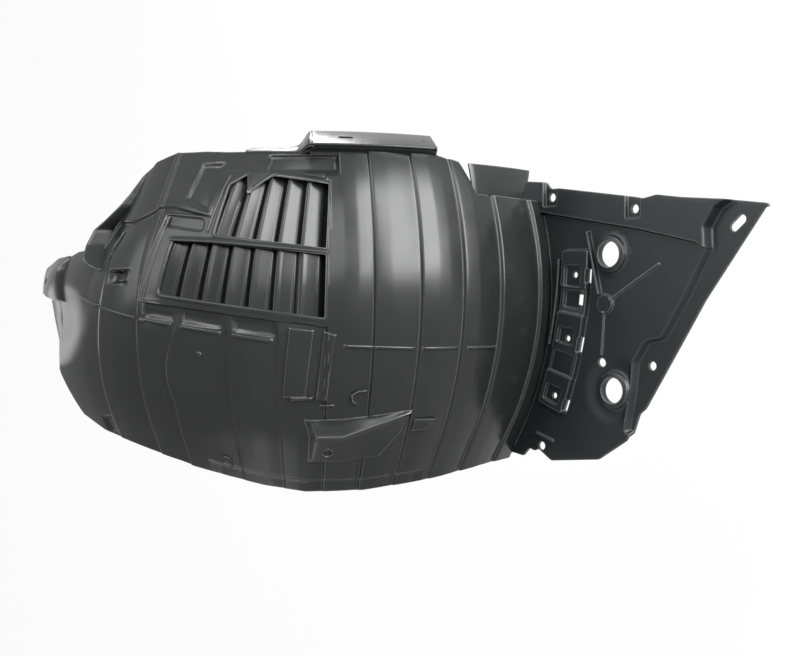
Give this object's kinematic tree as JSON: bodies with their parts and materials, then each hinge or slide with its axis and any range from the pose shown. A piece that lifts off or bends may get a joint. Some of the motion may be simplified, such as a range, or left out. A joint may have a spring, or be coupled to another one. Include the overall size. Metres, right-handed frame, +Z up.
{
  "type": "wheel arch liner",
  "caption": "Thin moulded plastic liner for a front wheel arch, with a ribbed arch, louvred vent panel and a flat splash plate in front.",
  "frame": {"origin": "centre of the wheel opening, on the wheel axis", "axes": "+X to the front of the car, +Y inboard along the wheel axis, +Z up"},
  "size_m": [0.7547, 0.4113, 0.4489],
  "materials": {
    "liner": "satin black moulded plastic, smooth on the arch and a little duller on the splash plate"
  },
  "bodies": {
    "root": {"liner": "liner"}
  },
  "joints": []
}
